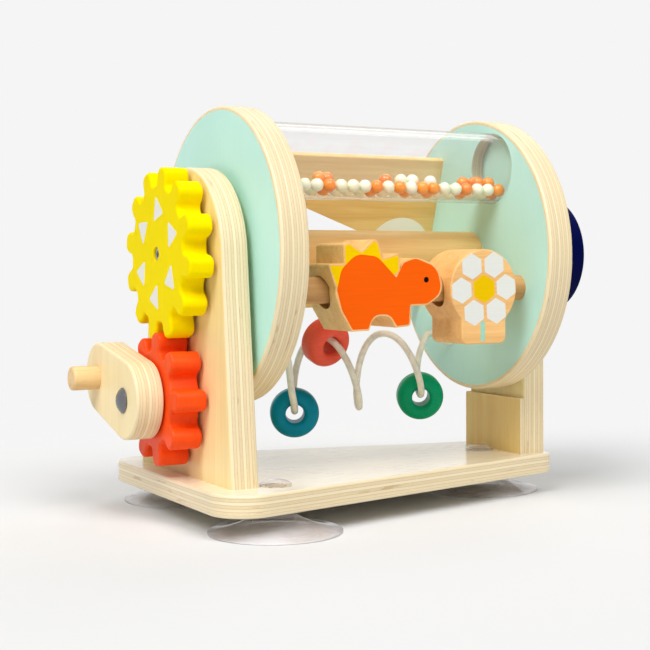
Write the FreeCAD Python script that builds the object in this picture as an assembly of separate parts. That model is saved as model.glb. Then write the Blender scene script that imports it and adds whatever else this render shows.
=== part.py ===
import FreeCAD, Part
import math
import os

# Tabletop crank toy: a geared wooden activity drum on a stand with suction feet.
# X runs along the drum's axle, from the crank to the blue hand knob. Z is up and
# the feet stand on z = 0. All lengths are millimetres, all angles are degrees.

# ---------------------------------------------------------------- driving dimensions
# Fits
running_gap = 0.06            # radial, a shaft that turns in a bore
glue_gap = 0.04               # radial, a glued or pressed piece in its socket
loose_gap = 0.35              # between moving neighbours
overrun = 1.0                 # how far a cutter reaches past the faces it cuts
pick_tolerance = 0.05         # when edges are picked by their place

# Suction feet
cup_radius = 30.0
cup_height = 10.5
cup_lip_width = 1.6
cup_lip_thickness = 0.9
cup_hollow = 3.2
cup_crown_radius = 6.0
cup_hub_radius = 9.5
cup_hub_height = 3.0
cup_neck_radius = 4.8
cup_head_radius = 7.2
cup_head_height = 3.0
cup_head_edge = 0.9           # height of the head's straight edge
cup_shoulder_radius = 4.8     # where the head's curve passes
cup_shoulder_height = 2.4
cup_nipple_radius = 1.6
cup_skirt_share = 0.42        # of its width and rise, where the skirt's curve passes
cup_hollow_share = 0.7        # of its depth, the hollow's depth at half its width
left_cup_inset = 33.0         # from the board's left end
left_cup_spread = 52.0        # from the centre line
right_cup_inset = 27.0        # from the board's right end

# Base board
base_thickness = 10.0
base_left_half_width = 76.0
base_right_half_width = 29.5
base_left_overhang = 11.0
base_right_overhang = 3.0
base_left_corner = 17.0
base_right_corner = 9.0
base_edge_round = 1.2

# Uprights
upright_thickness = 13.0
upright_round = 1.5
left_foot_half_width = 54.5
left_head_radius = 43.0
left_head_drop = 2.5          # centre of the round head below the axle
right_half_width = 25.0
spacer_thickness = 2.6
spacer_height = 28.5
spacer_round = 1.0
screw_radius = 1.75
screw_head_radius = 3.8
screw_length = 28.0
left_screw_spread = 38.0
right_screw_spread = 14.0

# Drum
axle_height = 102.5           # above the board's top
disc_radius = 70.0
disc_thickness = 14.0
disc_round = 1.4
drum_inner_length = 130.0
drum_end_gap = 3.0            # between a disc and its upright
socket_depth = 7.2
core_radius = 12.0
axle_radius = 5.0
axle_bite = 13.0              # axle length inside the core
bushing_radius = 8.0
bushing_flange_radius = 11.0

# Bead tube
tube_radius = 18.0
tube_wall = 1.5
tube_axis_radius = 48.3       # from the drum's axle
tube_angle = 114.4            # from +Y towards +Z
ball_radius = 3.2
ball_gap = 0.1
ball_spacing = 6.5
ball_end_space = 1.2
ball_rows = (                 # steps from the tube's foot: c cream, o orange, . no ball
    (0, "cocccocccoccococcocco"),
    (-1, "cocccocccococooccocco"),
    (1, "ccoccccocccoccoccccoc"),
    (-0.5, "....o......cc.....oo"),
    (0.5, ".....o....o...c..oo."),
)

# Rod with the two spinners
rod_radius = 6.2
rod_axis_radius = 46.5
rod_angle = 200.8
spinner_bore_radius = 7.6
spinner_hang = 1.1            # bore centre below the rod's centre
block_thickness = 27.0
block_round = 0.8
dinosaur_length = 61.8
dinosaur_round = 0.4
dinosaur_share = -0.148       # of the drum's inner length, the block's place from its middle
flower_share = 0.271
flower_radius = 19.0
flower_stem_width = 25.4
flower_stem_drop = 26.4
flower_neck_round = 3.0
flower_corner = 3.2

# Back panel
panel_thickness = 6.0
panel_distance = 39.0         # axle to the panel's inner face
panel_angle = 17.0
panel_half_height = 41.5
panel_round = 1.0
inlay_radius = 20.0
inlay_thickness = 3.0
inlay_centre = 45.0
inlay_drop = 11.0             # centre below the panel's middle line
triangle_base = 49.0
triangle_length = 66.5
triangle_corner = 3.0
triangle_left = -38.0
triangle_drop = 2.5           # middle of the base below the panel's middle line

# Coil wire and its beads
wire_radius = 1.7
coil_axis_radius = 58.7
coil_angle = 274.5
coil_height_radius = 18.7
coil_depth_radius = 13.5
coil_pitch = 36.1
coil_skew = 4.6
coil_centre = 1.7
coil_last_rise = 4.8          # the last loop hangs this much higher
coil_start_turn = 120.0       # where the left lead joins the coil
coil_end_turn = 990.0         # where the right lead leaves it
left_lead_rise = 24.0
left_lead_lean = 3.0
right_lead_rise = 13.5        # the right lead's hump above the coil's end
right_lead_fall = 7.5         # from the hump down to the disc
right_lead_bend = 6.0
coil_steps = 16               # path corners in each turn
coil_loops = 3
first_foot = 180.0            # the coil's turn at its first foot
bend_share = 0.45             # of the shorter run beside it, taken by each bend
bead_radius = 12.0
bead_half_thickness = 6.5
bead_hole_radius = 4.5
bead_round = 4.6
bead_mouth_round = 2.4
ring_hang = 0.8               # ring centre below the wire at a loop's foot
coral_hang = 2.45             # bead centre below the wire near a loop's crest
coral_advance = 13.0          # the bead's turn past the crest
coral_yaw = -18.0             # the bead hangs skewed on the wire

# Gears
yellow_thickness = 12.0
red_thickness = 14.6
yellow_gap = 1.9              # between the yellow gear and the left upright
red_gap = 1.4
gear_module = 6.352
pressure_angle = 25.0
yellow_teeth = 12
red_teeth = 9
gear_addendum = 2.2
gear_dedendum = 6.4
gear_backlash = 1.2
tooth_tip_round = 3.6
tooth_root_round = 2.7
gear_edge_round = 1.5
flank_steps = 5
mesh_lead = 6.0               # yellow gap's angle before the line of centres
gear_screw_radius = 2.0
gear_screw_head_radius = 3.4
gear_screw_head_depth = 2.4
gear_screw_length = 12.0
gear_screw_sink = 0.8
hex_socket_radius = 1.7
hex_socket_depth = 1.4

# Crank
crank_spacer_thickness = 0.8
crank_spacer_radius = 12.0
arm_thickness = 13.0
arm_hub_radius = 18.0
arm_tip_radius = 16.5
arm_round = 1.2
crank_throw = 36.0
crank_rest_angle = 12.9       # from +Y towards +Z
peg_radius = 5.7
peg_length = 13.0
peg_bite = 9.0
peg_tip_round = 1.3
bolt_radius = 3.0
bolt_head_radius = 5.9
bolt_head_height = 2.7
sleeve_radius = 5.0
tnut_barrel_radius = 4.5
tnut_flange_radius = 9.0
tnut_flange_thickness = 1.2
tnut_length = 12.0
bolt_end_space = 1.0          # from the bolt's end to the upright's inner face
washer_radius = 8.0
washer_play = 0.2             # between a gear and its thrust washer

# Blue hand knob
knob_radius = 30.0
knob_thickness = 21.0
knob_gap = 2.0
knob_round = 1.6
knob_grip = 8.0               # knob left solid beyond the axle's end

# ---------------------------------------------------------------- places
Vector = FreeCAD.Vector
ALONG = Vector(1, 0, 0)
UP = Vector(0, 0, 1)

base_top = cup_height + base_thickness
axle_z = base_top + axle_height
disc_inner = drum_inner_length / 2
disc_outer = disc_inner + disc_thickness
upright_inner = disc_outer + drum_end_gap
upright_outer = upright_inner + upright_thickness
base_left = -(upright_outer + base_left_overhang)
base_right = upright_outer + base_right_overhang
yellow_back = -(upright_outer + yellow_gap)
yellow_front = yellow_back - yellow_thickness
red_back = -(upright_outer + red_gap)
red_front = red_back - red_thickness
arm_back = red_front - crank_spacer_thickness
arm_front = arm_back - arm_thickness
peg_tip = arm_front - peg_length
knob_inner = upright_outer + knob_gap
knob_outer = knob_inner + knob_thickness
centre_distance = gear_module * (yellow_teeth + red_teeth) / 2
crank_z = axle_z - centre_distance
origin_shift = Vector(-(peg_tip + knob_outer) / 2, 0, 0)
dinosaur_centre = dinosaur_share * drum_inner_length
flower_centre = flower_share * drum_inner_length


def polar(reach, angle):
    """A (y, z) place on the drum, from its reach and angle about the axle."""
    turn = math.radians(angle)
    return reach * math.cos(turn), axle_z + reach * math.sin(turn)


tube_y, tube_z = polar(tube_axis_radius, tube_angle)
rod_y, rod_z = polar(rod_axis_radius, rod_angle)


# ---------------------------------------------------------------- shape helpers
def rod_x(radius, x_start, x_end, y=0.0, z=axle_z):
    """A round bar along X."""
    return Part.makeCylinder(radius, x_end - x_start, Vector(x_start, y, z), ALONG)


def tube_x(outer, inner, x_start, x_end, y=0.0, z=axle_z):
    """A round tube along X."""
    return rod_x(outer, x_start, x_end, y, z).cut(rod_x(inner, x_start - overrun, x_end + overrun, y, z))


def rounded_wire(corners, place):
    """A closed wire through (u, v, radius) corners, each rounded by a tangent arc."""
    count = len(corners)
    stretches = []
    for index, (u, v, radius) in enumerate(corners):
        here = Vector(u, v, 0)
        before = Vector(*corners[index - 1][:2], 0) - here
        after = Vector(*corners[(index + 1) % count][:2], 0) - here
        before.normalize()
        after.normalize()
        if radius <= 0:
            stretches.append((here, None, here))
            continue
        half = before.getAngle(after) / 2
        along = radius / math.tan(half)
        middle = before + after
        middle.normalize()
        arc_middle = here + middle * (radius / math.sin(half) - radius)
        stretches.append((here + before * along, arc_middle, here + after * along))
    edges = []
    for index, (start, arc_middle, end) in enumerate(stretches):
        last = stretches[index - 1][2]
        if last.distanceToPoint(start) > 1e-6:
            edges.append(Part.LineSegment(place(last), place(start)).toShape())
        if arc_middle is not None:
            edges.append(Part.Arc(place(start), place(arc_middle), place(end)).toShape())
    return Part.Wire(Part.__sortEdges__(edges))


def extrude(wire, direction):
    return Part.Face(wire).extrude(direction)


def end_edges(shape, axis, low, high):
    """The edges that lie wholly in one of the two end planes of a slab."""
    found = []
    for edge in shape.Edges:
        box = edge.BoundBox
        near = getattr(box, axis + "Min")
        far = getattr(box, axis + "Max")
        if far - near < 1e-4 and min(abs(near - low), abs(near - high)) < 1e-4:
            found.append(edge)
    return found


def revolve(profile, base, axis):
    """A solid of revolution from a closed profile wire."""
    return Part.Face(profile).revolve(base, axis, 360)


def arc_corner(before, here, after):
    """A path's corner rounded by a tangent arc: the arc's start, middle and end."""
    towards_before = before - here
    towards_after = after - here
    along = bend_share * min(towards_before.Length, towards_after.Length)
    towards_before.normalize()
    towards_after.normalize()
    half = towards_before.getAngle(towards_after) / 2
    radius = along * math.tan(half)
    middle = towards_before + towards_after
    middle.normalize()
    arc_middle = here + middle * (radius / math.sin(half) - radius)
    return here + towards_before * along, arc_middle, here + towards_after * along


def polyline_path(points):
    """Straight runs joined by tangent arcs, for a bent wire."""
    edges = []
    last = points[0]
    for before, here, after in zip(points, points[1:], points[2:]):
        start, arc_middle, end = arc_corner(before, here, after)
        edges.append(Part.LineSegment(last, start).toShape())
        edges.append(Part.Arc(start, arc_middle, end).toShape())
        last = end
    edges.append(Part.LineSegment(last, points[-1]).toShape())
    return Part.Wire(edges)


# ---------------------------------------------------------------- stand
def cup_places():
    """Where the suction feet pass through the board."""
    left_x = base_left + left_cup_inset
    return {
        "suction_cup_front_left": (left_x, -left_cup_spread),
        "suction_cup_rear_left": (left_x, left_cup_spread),
        "suction_cup_right": (base_right - right_cup_inset, 0.0),
    }


def suction_cup(x, y):
    """A clear moulded foot: hollow cup, hub, neck through the board and snap head."""
    def at(r, z):
        return Vector(r, 0, z)

    def line(start, end):
        return Part.LineSegment(at(*start), at(*end)).toShape()

    def arc(start, middle, end):
        return Part.Arc(at(*start), at(*middle), at(*end)).toShape()

    lip_inner = (cup_radius - cup_lip_width, 0)
    lip_outer = (cup_radius, 0)
    lip_top = (cup_radius, cup_lip_thickness)
    hollow_edge = (cup_crown_radius, cup_hollow)
    hollow_middle = ((cup_crown_radius + lip_inner[0]) / 2, cup_hollow * cup_hollow_share)
    hub_low = (cup_hub_radius, cup_height - cup_hub_height)
    hub_top = (cup_hub_radius, cup_height)
    skirt_middle = (cup_hub_radius + (cup_radius - cup_hub_radius) * cup_skirt_share,
                    cup_lip_thickness + (hub_low[1] - cup_lip_thickness) * cup_skirt_share)
    neck_low = (cup_neck_radius, cup_height)
    neck_top = (cup_neck_radius, base_top)
    head_low = (cup_head_radius, base_top)
    head_edge = (cup_head_radius, base_top + cup_head_edge)
    head_middle = (cup_shoulder_radius, base_top + cup_shoulder_height)
    head_top = (cup_nipple_radius, base_top + cup_head_height)
    edges = [
        line((0, cup_hollow), hollow_edge),
        arc(hollow_edge, hollow_middle, lip_inner),
        line(lip_inner, lip_outer),
        line(lip_outer, lip_top),
        arc(lip_top, skirt_middle, hub_low),
        line(hub_low, hub_top),
        line(hub_top, neck_low),
        line(neck_low, neck_top),
        line(neck_top, head_low),
        line(head_low, head_edge),
        arc(head_edge, head_middle, head_top),
        line(head_top, (0, head_top[1])),
        line((0, head_top[1]), (0, cup_hollow)),
    ]
    cup = revolve(Part.Wire(edges), Vector(0, 0, 0), UP)
    cup.translate(Vector(x, y, 0))
    return cup


def screw_places():
    """Screw centres under the uprights, in the plane of the board."""
    middle = (upright_inner + upright_outer) / 2
    left = [(-middle, y) for y in (-left_screw_spread, 0.0, left_screw_spread)]
    right = [(middle, y) for y in (-right_screw_spread, right_screw_spread)]
    return left + right


def countersunk_screw(x, y, gap=0.0):
    """A wood screw driven up through the board; gap makes it a cutter for its hole."""
    shank = Part.makeCylinder(screw_radius + gap, screw_length + gap, Vector(x, y, cup_height), UP)
    cone_height = screw_head_radius - screw_radius
    head = Part.makeCone(screw_head_radius + gap, screw_radius + gap, cone_height,
                         Vector(x, y, cup_height), UP)
    return shank.fuse(head).removeSplitter()


def screw_holes():
    return Part.makeCompound([countersunk_screw(x, y, glue_gap) for x, y in screw_places()])


def base_board():
    corners = [
        (base_left, -base_left_half_width, base_left_corner),
        (base_right, -base_right_half_width, base_right_corner),
        (base_right, base_right_half_width, base_right_corner),
        (base_left, base_left_half_width, base_left_corner),
    ]
    outline = rounded_wire(corners, lambda p: Vector(p.x, p.y, cup_height))
    board = extrude(outline, UP * base_thickness)
    board = board.makeFillet(base_edge_round, end_edges(board, "Z", cup_height, base_top))
    for x, y in cup_places().values():
        hole = Part.makeCylinder(cup_neck_radius + glue_gap, base_thickness + 2 * overrun,
                                 Vector(x, y, cup_height - overrun), UP)
        board = board.cut(hole)
    return board.cut(screw_holes())


def tombstone(x_start, x_end, foot_half_width, head_radius, head_z):
    """An upright plate with a round head and straight sides tangent to it."""
    rise = head_z - base_top
    lean = math.acos(head_radius / math.hypot(foot_half_width, rise)) - math.atan2(rise, foot_half_width)
    tangent_y = head_radius * math.cos(lean)
    tangent_z = head_z + head_radius * math.sin(lean)
    foot_right = Vector(x_start, foot_half_width, base_top)
    foot_left = Vector(x_start, -foot_half_width, base_top)
    right = Vector(x_start, tangent_y, tangent_z)
    left = Vector(x_start, -tangent_y, tangent_z)
    crest = Vector(x_start, 0, head_z + head_radius)
    outline = Part.Wire([
        Part.LineSegment(foot_left, foot_right).toShape(),
        Part.LineSegment(foot_right, right).toShape(),
        Part.Arc(right, crest, left).toShape(),
        Part.LineSegment(left, foot_left).toShape(),
    ])
    plate = extrude(outline, ALONG * (x_end - x_start))
    upper = [edge for edge in end_edges(plate, "X", x_start, x_end)
             if edge.BoundBox.ZMax > base_top + pick_tolerance]
    return plate.makeFillet(upright_round, upper)


def left_upright():
    plate = tombstone(-upright_outer, -upright_inner, left_foot_half_width, left_head_radius,
                      axle_z - left_head_drop)
    plate = plate.cut(rod_x(bushing_radius + glue_gap, -upright_outer - overrun,
                            -upright_inner + overrun))
    plate = plate.cut(rod_x(tnut_barrel_radius + glue_gap, -upright_outer - overrun,
                            -upright_inner + overrun, z=crank_z))
    return plate.cut(screw_holes())


def right_upright():
    plate = tombstone(upright_inner, upright_outer, right_half_width, right_half_width, axle_z)
    plate = plate.cut(rod_x(bushing_radius + glue_gap, upright_inner - overrun,
                            upright_outer + overrun))
    return plate.cut(screw_holes())


def right_spacer_plate():
    """A thin plate on the right upright's inner face, up to just below the disc."""
    corners = [
        (-right_half_width, base_top, 0),
        (right_half_width, base_top, 0),
        (right_half_width, base_top + spacer_height, spacer_round),
        (-right_half_width, base_top + spacer_height, spacer_round),
    ]
    x_start = upright_inner - spacer_thickness
    outline = rounded_wire(corners, lambda p: Vector(x_start, p.x, p.y))
    return extrude(outline, ALONG * spacer_thickness)


def bushing(side):
    """A flanged plastic bushing in an upright; side is -1 at the crank, +1 at the knob."""
    flange_face = disc_outer + loose_gap
    body = rod_x(bushing_radius, upright_inner, upright_outer)
    flange = rod_x(bushing_flange_radius, flange_face, upright_inner)
    solid = body.fuse(flange).removeSplitter()
    solid = solid.cut(rod_x(axle_radius + running_gap, disc_outer, upright_outer + overrun))
    if side < 0:
        solid = solid.mirror(Vector(0, 0, 0), ALONG)
    return solid


# ---------------------------------------------------------------- drum
def axle(side):
    """A steel axle that turns in its bushing, glued into the core."""
    inner_end = disc_inner + socket_depth - axle_bite
    if side > 0:
        return rod_x(axle_radius, inner_end, knob_outer - knob_grip)
    outer_end = yellow_front + gear_screw_sink + gear_screw_head_depth
    shaft = rod_x(axle_radius, outer_end, -inner_end)
    return shaft.cut(rod_x(gear_screw_radius + glue_gap, outer_end - overrun,
                           outer_end + gear_screw_length + glue_gap))


def disc_sockets():
    """What both discs take in their inner faces, as cutters that reach socket_depth."""
    reach = disc_inner + socket_depth
    wire_start, wire_end = wire_points()[0], wire_points()[-1]
    return [
        rod_x(core_radius + glue_gap, -reach, reach),
        rod_x(tube_radius + glue_gap, -reach, reach, tube_y, tube_z),
        rod_x(rod_radius + glue_gap, -reach, reach, rod_y, rod_z),
        rod_x(wire_radius + glue_gap, -reach - glue_gap, 0, wire_start.y, wire_start.z),
        rod_x(wire_radius + glue_gap, 0, reach + glue_gap, wire_end.y, wire_end.z),
        panel_slab(glue_gap),
    ]


def drum_disc(side):
    x_start = disc_inner if side > 0 else -disc_outer
    x_end = x_start + disc_thickness
    disc = rod_x(disc_radius, x_start, x_end)
    disc = disc.makeFillet(disc_round, end_edges(disc, "X", x_start, x_end))
    disc = disc.cut(rod_x(axle_radius + glue_gap, x_start - overrun, x_end + overrun))
    for socket in disc_sockets():
        disc = disc.cut(socket)
    return disc


def core_dowel():
    """The round beam that joins the two discs, bored at both ends for the axles."""
    reach = disc_inner + socket_depth - glue_gap
    dowel = rod_x(core_radius, -reach, reach)
    bore_end = disc_inner + socket_depth - axle_bite - glue_gap
    dowel = dowel.cut(rod_x(axle_radius + glue_gap, bore_end, reach + overrun))
    return dowel.cut(rod_x(axle_radius + glue_gap, -reach - overrun, -bore_end))


def bead_tube():
    reach = disc_inner + socket_depth - glue_gap
    return tube_x(tube_radius, tube_radius - tube_wall, -reach, reach, tube_y, tube_z)


def spinner_rod():
    reach = disc_inner + socket_depth - glue_gap
    return rod_x(rod_radius, -reach, reach, rod_y, rod_z)


def rattle_balls():
    """Two sets of small balls in the tube: whole rows lie along its foot, half rows on them."""
    wall_reach = tube_radius - tube_wall - loose_gap - ball_radius
    half_step = math.asin((ball_radius + ball_gap / 2) / wall_reach)
    side = ball_radius * 2 + ball_gap
    rise = math.sqrt(side ** 2 - (ball_spacing / 2) ** 2 - (side / 2) ** 2)
    length = 2 * (disc_inner + socket_depth - glue_gap - ball_end_space - ball_radius)
    count = int(length / ball_spacing) + 1
    orange = []
    cream = []
    for steps, colours in ball_rows:
        on_top = steps != int(steps)
        reach = wall_reach * math.cos(half_step) - rise if on_top else wall_reach
        turn = 2 * half_step * steps - math.pi / 2
        y = tube_y + reach * math.cos(turn)
        z = tube_z + reach * math.sin(turn)
        for index in range(count - on_top):
            colour = colours[index % len(colours)]
            if colour == ".":
                continue
            x = ball_spacing * (index - (count - 1 - on_top) / 2)
            ball = Part.makeSphere(ball_radius, Vector(x, y, z))
            (orange if colour == "o" else cream).append(ball)
    return orange, cream


def panel_normal():
    """Away from the axle, square to the panel."""
    turn = math.radians(panel_angle)
    return Vector(0, math.cos(turn), math.sin(turn))


def panel_slab(gap=0.0):
    """The plain board between the discs; gap makes it a cutter for its slots."""
    normal = panel_normal()
    upward = Vector(0, -normal.z, normal.y)
    reach = disc_inner + socket_depth - glue_gap + gap
    low = Vector(-reach, 0, axle_z) + normal * (panel_distance - gap) - upward * (panel_half_height + gap)
    corner_points = [
        low,
        low + normal * (panel_thickness + 2 * gap),
        low + normal * (panel_thickness + 2 * gap) + upward * 2 * (panel_half_height + gap),
        low + upward * 2 * (panel_half_height + gap),
    ]
    face = Part.Face(Part.makePolygon(corner_points + [low]))
    return face.extrude(ALONG * 2 * reach)


def panel_place(point):
    """From the panel's own plane, x along the drum and y up the panel, to the drum."""
    normal = panel_normal()
    upward = Vector(0, -normal.z, normal.y)
    return Vector(point.x, 0, axle_z) + normal * (panel_distance - overrun) + upward * point.y


def triangle_corners():
    """The triangular window, with its base upright at the left and its tip at the right."""
    return [
        (triangle_left, triangle_base / 2 - triangle_drop, triangle_corner),
        (triangle_left + triangle_length, -triangle_drop, triangle_corner),
        (triangle_left, -triangle_base / 2 - triangle_drop, triangle_corner),
    ]


def inlay_start():
    """On the inlay's middle line, short of the panel's inner face by the cutters' overrun."""
    return panel_place(Vector(inlay_centre, -inlay_drop, 0))


def back_panel():
    panel = panel_slab()
    long_edges = [e for e in panel.Edges if e.BoundBox.XLength > drum_inner_length]
    panel = panel.makeFillet(panel_round, long_edges)
    normal = panel_normal()
    pocket = Part.makeCylinder(inlay_radius, overrun + inlay_thickness + glue_gap, inlay_start(), normal)
    through = normal * (panel_thickness + 2 * overrun)
    return panel.cut(pocket).cut(extrude(rounded_wire(triangle_corners(), panel_place), through))


def round_inlay():
    """The pale disc, flush in its pocket in the panel's inner face."""
    face = inlay_start() + panel_normal() * overrun
    return Part.makeCylinder(inlay_radius - glue_gap, inlay_thickness, face, panel_normal())


# ---------------------------------------------------------------- coil wire and beads
def coil_point(turn):
    """A place on the coil; turn is 0 at a crest, 90 at the front, 180 at the first foot."""
    angle = math.radians(turn)
    centre_y, centre_z = polar(coil_axis_radius, coil_angle)
    outward = Vector(0, math.cos(math.radians(coil_angle)), math.sin(math.radians(coil_angle)))
    backward = Vector(0, -outward.z, outward.y)
    middle = first_foot + 180 * (coil_loops - 1)
    x = coil_centre + coil_pitch * (turn - middle) / 360 - coil_skew * (1 + math.cos(angle)) / 2
    point = Vector(x, centre_y, centre_z)
    last_crest = first_foot + 360 * (coil_loops - 1) - 180
    share = min(max((turn - last_crest) / 180, 0), 1)
    point -= outward * (coil_height_radius * math.cos(angle) + coil_last_rise * share)
    point -= backward * (coil_depth_radius * math.sin(angle))
    return point


def wire_points():
    """Corners of the wire's path, from the left disc's socket to the right disc's."""
    step = 360 / coil_steps
    count = round((coil_end_turn - coil_start_turn) / step)
    coil = [coil_point(coil_end_turn - step * (count - index)) for index in range(count + 1)]
    start, end = coil[0], coil[-1]
    reach = disc_inner + socket_depth
    entry = Vector(-reach, start.y, start.z + left_lead_rise)
    bend = Vector(start.x - left_lead_lean, start.y, start.z + left_lead_rise)
    hump = Vector(end.x + right_lead_bend, end.y, end.z + right_lead_rise)
    low = Vector(disc_inner - right_lead_bend, end.y, hump.z - right_lead_fall)
    leave = Vector(reach, end.y, low.z)
    return [entry, bend] + coil + [hump, low, leave]


def coil_wire():
    points = wire_points()
    path = polyline_path(points)
    start_normal = points[1] - points[0]
    section = Part.Wire(Part.makeCircle(wire_radius, points[0], start_normal))
    return path.makePipeShell([section], True, True)


def ring_bead(turn, hang, yaw=0.0):
    """A turned wooden bead threaded on the coil, hanging below it and turned by yaw."""
    def at(r, h):
        return Vector(r, 0, h)

    outer = bead_radius
    half = bead_half_thickness
    corners = [
        (bead_hole_radius, -half, bead_mouth_round),
        (outer, -half, bead_round),
        (outer, half, bead_round),
        (bead_hole_radius, half, bead_mouth_round),
    ]
    bead = revolve(rounded_wire(corners, lambda p: at(p.x, p.y)), Vector(0, 0, 0), UP)
    step = 360 / coil_steps
    start, on_wire, end = arc_corner(*[coil_point(turn + side * step) for side in (-1, 0, 1)])
    tangent = end - start
    sag = UP - tangent * (UP.dot(tangent) / tangent.dot(tangent))
    sag.normalize()
    centre = on_wire - sag * hang
    along_wire = FreeCAD.Rotation(UP, tangent)
    bead.Placement = FreeCAD.Placement(centre, FreeCAD.Rotation(UP, yaw).multiply(along_wire))
    return bead


# ---------------------------------------------------------------- spinner blocks
def dinosaur_corners():
    """The dinosaur's side view from the rod's centre, drawn in hundredths of its length."""
    drawn = [
        (-48.9, 19.4, 1.6),       # tail spike
        (-42.4, 1.9, 2.4),
        (-43.0, -2.3, 9.7),
        (-38.8, -14.6, 12.9),
        (-29.1, -30.3, 1.6),      # rear foot
        (-14.2, -29.9, 1.6),
        (-10.4, -19.4, 8.4),      # belly arch
        (2.6, -19.4, 8.4),
        (8.4, -28.3, 1.6),        # front foot
        (21.4, -27.3, 2.6),
        (22.0, -12.3, 1.3),
        (36.6, -12.0, 10.5),      # chin
        (51.1, -2.6, 11.3),
        (46.3, 17.8, 14.6),       # head
        (25.2, 25.2, 10.5),
        (12.3, 13.9, 1.3),
        (12.0, 27.8, 1.9),        # shoulder spike
        (-2.3, 23.6, 0.8),
        (-7.1, 37.9, 1.9),        # top spike
        (-11.7, 37.1, 1.9),
        (-20.9, 29.0, 0.8),
        (-31.4, 35.4, 1.9),       # back spike
        (-36.1, 33.8, 1.9),
        (-35.9, 19.7, 0.6),
    ]
    unit = dinosaur_length / 100
    return [(x * unit, y * unit, radius * unit) for x, y, radius in drawn]


def dinosaur_block():
    front = rod_y - block_thickness / 2
    outline = rounded_wire(dinosaur_corners(),
                           lambda p: Vector(dinosaur_centre + p.x, front, rod_z + p.y))
    block = extrude(outline, Vector(0, block_thickness, 0))
    block = block.makeFillet(dinosaur_round, end_edges(block, "Y", front, front + block_thickness))
    box = block.BoundBox
    return block.cut(rod_x(spinner_bore_radius, box.XMin - overrun, box.XMax + overrun, rod_y,
                           rod_z - spinner_hang))


def flower_block():
    front = rod_y - block_thickness / 2
    depth = Vector(0, block_thickness, 0)
    head = Part.makeCylinder(flower_radius, block_thickness, Vector(flower_centre, front, rod_z),
                             Vector(0, 1, 0))
    half = flower_stem_width / 2
    corners = [
        (-half, -flower_stem_drop, flower_corner),
        (half, -flower_stem_drop, flower_corner),
        (half, 0, 0),
        (-half, 0, 0),
    ]
    stem = extrude(rounded_wire(corners, lambda p: Vector(flower_centre + p.x, front, rod_z + p.y)),
                   depth)
    block = head.fuse(stem).removeSplitter()
    necks = [e for e in block.Edges if e.BoundBox.YLength > block_thickness - pick_tolerance
             and abs(abs(e.BoundBox.Center.x - flower_centre) - half) < pick_tolerance
             and e.BoundBox.Center.z > rod_z - flower_radius]
    block = block.makeFillet(flower_neck_round, necks)
    block = block.makeFillet(block_round, end_edges(block, "Y", front, front + block_thickness))
    box = block.BoundBox
    return block.cut(rod_x(spinner_bore_radius, box.XMin - overrun, box.XMax + overrun, rod_y,
                           rod_z - spinner_hang))


# ---------------------------------------------------------------- gears and crank
def involute(cosine):
    """The involute of the angle that has this cosine."""
    angle = math.acos(cosine)
    return math.tan(angle) - angle


def gear_blank(teeth, first_tip, centre_z, front, back):
    """A spur gear slab; first_tip is one tooth's angle from +Y towards +Z."""
    thickness = back - front
    pitch_radius = gear_module * teeth / 2
    base_radius = pitch_radius * math.cos(math.radians(pressure_angle))
    tip_radius = pitch_radius + gear_addendum
    root_radius = pitch_radius - gear_dedendum
    tooth_arc = math.pi * gear_module / 2 - gear_backlash / 2
    half_at_pitch = tooth_arc / 2 / pitch_radius
    half_at_base = half_at_pitch + involute(base_radius / pitch_radius)

    def at(radius, angle):
        return Vector(front, radius * math.cos(angle), centre_z + radius * math.sin(angle))

    def half_angle(radius):
        if radius <= base_radius:
            return half_at_base
        return half_at_base - involute(base_radius / radius)

    flank_start = max(root_radius, base_radius)
    flank_step = (tip_radius - flank_start) / flank_steps
    flank_radii = [flank_start + flank_step * i for i in range(flank_steps + 1)]
    half_at_tip = half_angle(tip_radius)
    edges = []
    for tooth in range(teeth):
        middle = math.radians(first_tip) + 2 * math.pi * tooth / teeth
        next_middle = middle + 2 * math.pi / teeth
        for side in (-1, 1):
            flank = [at(radius, middle + side * half_angle(radius)) for radius in flank_radii]
            curve = Part.BSplineCurve()
            curve.interpolate(flank)
            edges.append(curve.toShape())
            if root_radius < base_radius:
                foot = at(root_radius, middle + side * half_at_base)
                edges.append(Part.LineSegment(foot, flank[0]).toShape())
        edges.append(Part.Arc(at(tip_radius, middle - half_at_tip), at(tip_radius, middle),
                              at(tip_radius, middle + half_at_tip)).toShape())
        root_half = half_angle(root_radius)
        edges.append(Part.Arc(at(root_radius, middle + root_half),
                              at(root_radius, (middle + next_middle) / 2),
                              at(root_radius, next_middle - root_half)).toShape())
    outline = Part.Wire(Part.__sortEdges__(edges))
    blank = extrude(outline, ALONG * thickness)

    def axial_edges(radius):
        found = []
        for edge in blank.Edges:
            box = edge.BoundBox
            reach = math.hypot(box.Center.y, box.Center.z - centre_z)
            if box.XLength > thickness - pick_tolerance and abs(reach - radius) < pick_tolerance:
                found.append(edge)
        return found

    blank = blank.makeFillet(tooth_tip_round, axial_edges(tip_radius))
    blank = blank.makeFillet(tooth_root_round, axial_edges(root_radius))
    return blank.makeFillet(gear_edge_round, end_edges(blank, "X", front, back))


def yellow_first_tip():
    """The yellow gear's rest angle: a gap lies mesh_lead before the line of centres."""
    return 270 - mesh_lead + 180 / yellow_teeth


def red_first_tip():
    """The red gear's rest angle: a tooth lies in the yellow gear's gap."""
    return 90 + mesh_lead * yellow_teeth / red_teeth


def yellow_gear():
    gear = gear_blank(yellow_teeth, yellow_first_tip(), axle_z, yellow_front, yellow_back)
    axle_end = yellow_front + gear_screw_sink + gear_screw_head_depth
    gear = gear.cut(rod_x(axle_radius + glue_gap, axle_end, yellow_back + overrun))
    return gear.cut(rod_x(gear_screw_head_radius + glue_gap, yellow_front - overrun, axle_end))


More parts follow.
